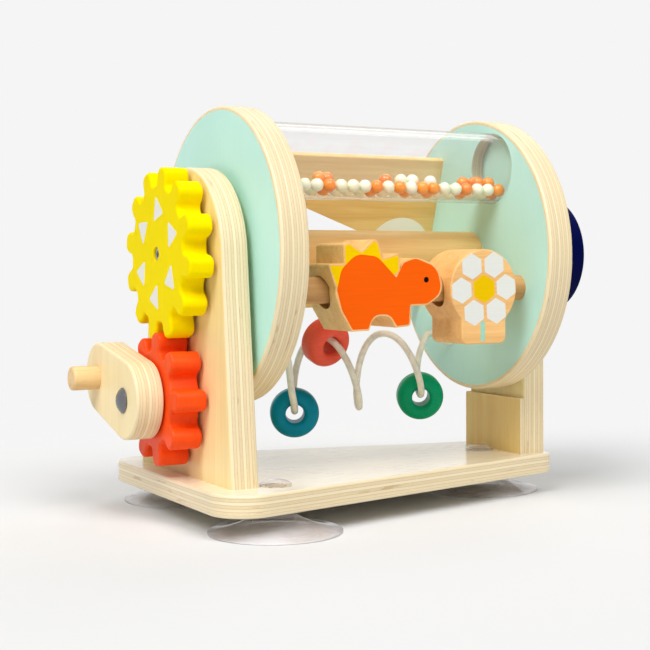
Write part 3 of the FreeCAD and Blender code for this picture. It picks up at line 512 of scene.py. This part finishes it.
materials = {
    "base": plywood("plywood_board", "base_board", srgb(252, 244, 224), srgb(242, 226, 194),
                    plies=7, axis=Z, along=X, extra=board_print, lacquer=1.0),
    "left": plywood("plywood_left", "left_upright", UPRIGHT_LIGHT, UPRIGHT_DARK, plies=9),
    "right": plywood("plywood_right", "right_upright", UPRIGHT_LIGHT, UPRIGHT_DARK, plies=9),
    "spacer": plywood("plywood_spacer", "right_spacer_plate", srgb(255, 228, 152),
                      srgb(242, 200, 124), plies=2),
    "arm": plywood("plywood_arm", "crank_arm", srgb(255, 236, 184), srgb(246, 216, 158),
                   plies=9),
    "left_disc": mint_disc("mint_left", "left_disc"),
    "right_disc": mint_disc("mint_right", "right_disc"),
    "core": wood("beech_core", srgb(255, 218, 142), srgb(240, 184, 108)),
    "rod": wood("beech_rod", srgb(214, 162, 98), srgb(174, 120, 64)),
    "peg": wood("beech_peg", srgb(240, 206, 150), srgb(214, 168, 104)),
    "block": wood("hardwood_block", srgb(250, 200, 128), srgb(220, 160, 90), figure=0.45),
    "panel": wood("basswood_panel", srgb(252, 216, 140), srgb(232, 186, 106), roughness=0.52,
                  figure=0.7),
    "inlay": paint("pale_inlay", srgb(254, 252, 238), gloss=0.3, depth=0.02, roughness=0.3),
    "yellow": paint("yellow_paint", srgb(255, 230, 0), gloss=0.015, depth=0.03, roughness=0.4,
                    along=Z),
    "red": paint("red_paint", srgb(255, 80, 14), gloss=0.2, depth=0.08, roughness=0.4, along=Z),
    "teal": paint("teal_paint", srgb(0, 150, 182), gloss=0.12, depth=0.15, roughness=0.3),
    "coral": paint("coral_paint", srgb(255, 102, 78), gloss=0.12, depth=0.12, roughness=0.3),
    "green": paint("green_paint", srgb(0, 168, 116), gloss=0.12, depth=0.15, roughness=0.3),
    "navy": paint("navy_paint", srgb(0, 8, 70), gloss=0.03, depth=0.2, roughness=0.4, along=Z),
    "orange_ball": ball("orange_balls", srgb(255, 164, 30), srgb(252, 126, 0)),
    "cream_ball": ball("cream_balls", srgb(254, 252, 232), srgb(242, 246, 212)),
    "wire": moulded("coated_wire", srgb(248, 245, 230), roughness=0.3),
    "tube": clear("clear_tube", srgb(252, 250, 246), srgb(244, 238, 226), thin=0.01, rim=0.16,
                  roughness=0.06),
    "cup": clear("clear_cup", srgb(244, 240, 244), srgb(204, 194, 190), thin=0.20, rim=0.85,
                 roughness=0.1),
    "steel": metal("zinc_steel", srgb(190, 190, 195), roughness=0.3),
    "chrome": metal("chrome", srgb(128, 128, 130), roughness=0.12),
    "bush": moulded("white_bush", srgb(226, 226, 220), roughness=0.4, soft=0.1),
    "petal_paint": paint("white_paint", srgb(230, 231, 224), gloss=0.05, depth=0.03),
    "eye_paint": paint("yellow_print", srgb(240, 196, 0), gloss=0.05, depth=0.05),
    "stem_paint": paint("mint_print", srgb(160, 218, 198), gloss=0.05, depth=0.05),
    "dinosaur_paint": paint("orange_print", srgb(252, 98, 8), gloss=0.04, depth=0.05),
    "spike_paint": paint("yellow_spikes", srgb(250, 206, 0), gloss=0.04, depth=0.05),
    "pupil_paint": paint("black_print", srgb(14, 10, 10), gloss=0.05, depth=0.05, roughness=0.4),
    "triangle_paint": paint("white_print", srgb(240, 238, 232), gloss=0.05, depth=0.03),
}

node_finish = {
    "base_board": "base", "left_upright": "left", "right_upright": "right",
    "right_spacer_plate": "spacer", "crank_arm": "arm", "left_disc": "left_disc",
    "right_disc": "right_disc", "core_dowel": "core", "spinner_rod": "rod",
    "crank_peg": "peg", "dinosaur_block": "block", "flower_block": "block",
    "back_panel": "panel", "round_inlay": "inlay", "yellow_gear": "yellow",
    "red_gear": "red", "teal_ring": "teal", "coral_bead": "coral", "green_ring": "green",
    "blue_knob": "navy", "rattle_balls_orange": "orange_ball",
    "rattle_balls_cream": "cream_ball", "coil_wire": "wire", "bead_tube": "tube",
    "suction_cup_front_left": "cup", "suction_cup_rear_left": "cup",
    "suction_cup_right": "cup", "gear_screw": "steel", "upright_screws": "steel",
    "crank_tnut": "steel", "left_axle": "steel", "right_axle": "steel",
    "crank_bolt": "chrome", "left_bushing": "bush", "right_bushing": "bush",
    "drum_washer": "bush", "crank_washer": "bush", "crank_sleeve": "bush",
    "crank_spacer": "bush",
}

for name, finish in node_finish.items():
    slots = nodes[name].data.materials
    for index in range(len(slots)):
        slots[index] = materials[finish]


# ---------------------------------------------------------------- painted plates
def show(name, data):
    """Put a mesh, a lamp or a camera into the scene as an object."""
    shown = bpy.data.objects.new(name, data)
    bpy.context.scene.collection.objects.link(shown)
    return shown


def rounded(corners):
    """Points of a closed outline whose (u, v, radius) corners are rounded by arcs."""
    points = []
    count = len(corners)
    for index, (u, v, radius) in enumerate(corners):
        here = Vector((u, v))
        if radius <= 0:
            points.append(here)
            continue
        before = (Vector(corners[index - 1][:2]) - here).normalized()
        after = (Vector(corners[(index + 1) % count][:2]) - here).normalized()
        half = before.angle(after) / 2
        along = radius / math.tan(half)
        centre = here + (before + after).normalized() * (radius / math.sin(half))
        start = here + before * along - centre
        end = here + after * along - centre
        sweep = start.angle_signed(end)
        for step in range(ARC_STEPS + 1):
            turn = -sweep * step / ARC_STEPS
            points.append(centre + Vector((start.x * math.cos(turn) - start.y * math.sin(turn),
                                           start.x * math.sin(turn) + start.y * math.cos(turn))))
    return points


def regular(centre, radius, sides, turn, corner):
    """A rounded regular polygon; turn is its first corner's angle in degrees."""
    corners = []
    for side in range(sides):
        angle = math.radians(turn + 360 * side / sides)
        corners.append((centre[0] + radius * math.cos(angle),
                        centre[1] + radius * math.sin(angle), corner))
    return rounded(corners)


def plate(name, outline, place, outward, body, finish, thickness=PAINT_THICKNESS):
    """A thin layer of paint: the outline's (u, v) points put by place, raised outward."""
    mesh = bpy.data.meshes.new(name)
    shape = bmesh.new()
    lower = [shape.verts.new(place(u, v)) for u, v in outline]
    upper = [shape.verts.new(place(u, v) + outward * thickness) for u, v in outline]
    count = len(outline)
    for index in range(count):
        following = (index + 1) % count
        shape.faces.new((lower[index], lower[following], upper[following], upper[index]))
    shape.faces.new(upper)
    shape.faces.new(lower[::-1])
    bmesh.ops.recalc_face_normals(shape, faces=shape.faces)
    shape.to_mesh(mesh)
    shape.free()
    mesh.materials.append(materials[finish])
    piece = show(name, mesh)
    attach(piece, body)


def block_sides(node, centre_x):
    """For a block's front and back: a name ending, where (u, v) lies on it, and outward."""
    low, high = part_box(node)

    def front(u, v):
        return Vector((centre_x + u, low.y, rod_middle.z + v))

    def back(u, v):
        return Vector((centre_x + u, high.y, rod_middle.z + v))

    return (("front", front, Vector((0, -1, 0))), ("back", back, Vector((0, 1, 0))))


def in_metres(corners):
    """Corners given in millimetres, as (u, v, radius)."""
    return [(u * MM, v * MM, radius * MM) for u, v, radius in corners]


# Outlines of the print, in millimetres from its middle on the rod's axis
SPIKE_OUTLINE = in_metres([
    (-29.3, 11.2, 0.8), (-21.3, 11.2, 0.4), (-21.4, 20.2, 0.9), (-19.5, 20.9, 0.9),
    (-12.9, 16.8, 0.4), (-6.9, 21.8, 0.9), (-5.0, 22.2, 0.9), (-2.2, 13.5, 0.4),
    (6.6, 16.0, 0.9), (6.6, 8.4, 0.3), (0.0, 5.0, 0), (-20.0, 2.0, 0), (-25.4, 1.6, 0.3),
])
BODY_OUTLINE = in_metres([
    (-25.6, 0.4, 4.0), (-23.4, 9.6, 7.0), (-15.6, 16.6, 8.0), (-4.6, 15.4, 8.0),
    (5.5, 5.6, 0.5), (9.6, 12.6, 2.5), (15.8, 14.6, 5.5), (27.7, 10.4, 8.2),
    (30.4, -1.4, 6.0), (22.4, -6.5, 5.4), (12.8, -6.7, 1.2), (12.3, -16.1, 1.2),
    (5.8, -16.6, 0.7), (2.2, -11.1, 5.6), (-6.9, -11.1, 5.6), (-9.4, -17.6, 0.7),
    (-17.5, -17.8, 0.7), (-23.1, -8.7, 7.5),
])
STEM_OUTLINE = in_metres([
    (-2.0, -25.0, 0.4), (0.4, -25.0, 0.4), (0.4, -15.6, 0.4), (-2.0, -15.6, 0.4),
])


def dinosaur_paint():
    """Orange body, yellow spikes and a pupil, on both sides of the dinosaur block."""
    centre_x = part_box("dinosaur_block")[0].x + DINOSAUR_TAIL
    pupil = regular(PUPIL_CENTRE, PUPIL_RADIUS, PUPIL_SIDES, 0, PUPIL_CORNER)
    for side, place, outward in block_sides("dinosaur_block", centre_x):
        plate("dinosaur_spikes_" + side, rounded(SPIKE_OUTLINE), place, outward, "dinosaur",
              "spike_paint")
        plate("dinosaur_body_" + side, rounded(BODY_OUTLINE), place, outward, "dinosaur",
              "dinosaur_paint", 2 * PAINT_THICKNESS)
        plate("dinosaur_eye_" + side, pupil, place, outward, "dinosaur",
              "pupil_paint", 3 * PAINT_THICKNESS)


def flower_paint():
    """Six white petals round a yellow middle, and a stem, on both sides of the flower block."""
    low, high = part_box("flower_block")
    middle = regular((0, 0), FLOWER_MIDDLE_RADIUS, 6, 90 + PETAL_TURN, PETAL_CORNER)
    for side, place, outward in block_sides("flower_block", (low.x + high.x) / 2):
        plate("flower_middle_" + side, middle, place, outward, "flower",
              "eye_paint")
        for petal in range(6):
            angle = math.radians(60 * petal + PETAL_TURN)
            centre = (PETAL_SPACING * math.cos(angle), PETAL_SPACING * math.sin(angle))
            outline = regular(centre, PETAL_RADIUS, 6, 90 + PETAL_TURN, PETAL_CORNER)
            plate(f"flower_petal_{petal}_{side}", outline, place, outward, "flower",
                  "petal_paint")
        plate("flower_stem_" + side, rounded(STEM_OUTLINE), place, outward, "flower",
              "stem_paint")


def gear_print():
    """Six loose white triangles round the screw on the yellow gear's face."""
    gear_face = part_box("yellow_gear")[0].x

    def place(u, v):
        return Vector((gear_face, drum_middle.y + u, drum_middle.z + v))

    for index, turn in enumerate(TRIANGLE_TURNS):
        angle = math.radians(TRIANGLE_START + 60 * index)
        centre = (TRIANGLE_REACH * math.cos(angle), TRIANGLE_REACH * math.sin(angle))
        outline = regular(centre, TRIANGLE_RADIUS, 3, turn, TRIANGLE_CORNER)
        plate(f"gear_triangle_{index}", outline, place, Vector((-1, 0, 0)), "drum",
              "triangle_paint")


dinosaur_paint()
flower_paint()
gear_print()


# ---------------------------------------------------------------- floor, light and camera
def floor():
    """A round pale floor that takes the soft shadow and fades into the background."""
    look = Finish("pale_floor", {"Roughness": 0.9, "Specular IOR Level": 0.0})
    look.colour((FLOOR_ALBEDO, FLOOR_ALBEDO, FLOOR_ALBEDO, 1.0))
    from_toy = look.vector("SUBTRACT", look.place, (drum_middle.x, 0.0, 0.0))
    faded = look.ramp(look.vector("LENGTH", from_toy), *SHADOW_REACH)
    ray = look.add("LightPath")
    glow = look.add("Emission")
    glow.inputs["Strength"].default_value = BACKGROUND
    look.cover(look.math("MULTIPLY", ray.outputs["Is Camera Ray"], faded), glow)
    mesh = bpy.data.meshes.new("floor")
    shape = bmesh.new()
    bmesh.ops.create_circle(shape, cap_ends=True, segments=FLOOR_SIDES, radius=FLOOR_RADIUS)
    shape.to_mesh(mesh)
    shape.free()
    mesh.materials.append(look.material)
    ground = show("floor", mesh)


def world():
    """Soft room light, brighter from above; camera, mirrors and glass see the background."""
    room = bpy.data.worlds.new("room")
    bpy.context.scene.world = room
    room.use_nodes = True
    tree = room.node_tree
    ray = tree.nodes.new("ShaderNodeLightPath")

    def larger(first, second):
        node = tree.nodes.new("ShaderNodeMath")
        node.operation = "MAXIMUM"
        tree.links.new(first, node.inputs[0])
        tree.links.new(second, node.inputs[1])
        return node.outputs[0]

    seen = larger(ray.outputs["Is Glossy Ray"], ray.outputs["Is Transmission Ray"])
    seen = larger(ray.outputs["Is Camera Ray"], seen)
    direction = tree.nodes.new("ShaderNodeTexCoord")
    height = tree.nodes.new("ShaderNodeSeparateXYZ")
    tree.links.new(direction.outputs["Generated"], height.inputs[0])
    gradient = tree.nodes.new("ShaderNodeMapRange")
    gradient.inputs["To Min"].default_value = HORIZON_LIGHT
    gradient.inputs["To Max"].default_value = ZENITH_LIGHT
    tree.links.new(height.outputs["Z"], gradient.inputs["Value"])
    level = tree.nodes.new("ShaderNodeMapRange")
    level.inputs["To Max"].default_value = BACKGROUND
    tree.links.new(seen, level.inputs["Value"])
    tree.links.new(gradient.outputs[0], level.inputs["To Min"])
    tree.links.new(level.outputs[0], tree.nodes["Background"].inputs["Strength"])
    tree.nodes["Background"].inputs["Color"].default_value = (1.0, 1.0, 1.0, 1.0)


def lamps():
    """Wide, soft lamps from the directions in LAMPS."""
    for name, strength, softness, direction in LAMPS:
        lamp = bpy.data.lights.new(name, "SUN")
        lamp.energy = strength
        lamp.angle = math.radians(softness)
        softbox = show(name, lamp)
        softbox.rotation_mode = "QUATERNION"
        softbox.rotation_quaternion = Vector(direction).to_track_quat("Z", "Y")


def camera():
    """The photograph's camera, aimed beside the drum's middle."""
    azimuth = math.radians(CAMERA_AZIMUTH)
    elevation = math.radians(CAMERA_ELEVATION)
    back = Vector((math.sin(azimuth) * math.cos(elevation),
                   -math.cos(azimuth) * math.cos(elevation), math.sin(elevation)))
    aim = Vector((drum_middle.x + AIM_BESIDE_DRUM, drum_middle.y, board_high.z + AIM_ABOVE_BOARD))
    data = bpy.data.cameras.new("camera")
    data.lens = CAMERA_LENS
    data.shift_x, data.shift_y = CAMERA_SHIFT
    data.clip_start = CAMERA_NEAR
    eye = show("camera", data)
    eye.rotation_mode = "QUATERNION"
    eye.location = aim + back * CAMERA_DISTANCE
    eye.rotation_quaternion = (-back).to_track_quat("-Z", "Y")
    bpy.context.scene.camera = eye


floor()
world()
lamps()
camera()
bpy.context.scene.view_settings.view_transform = "Standard"
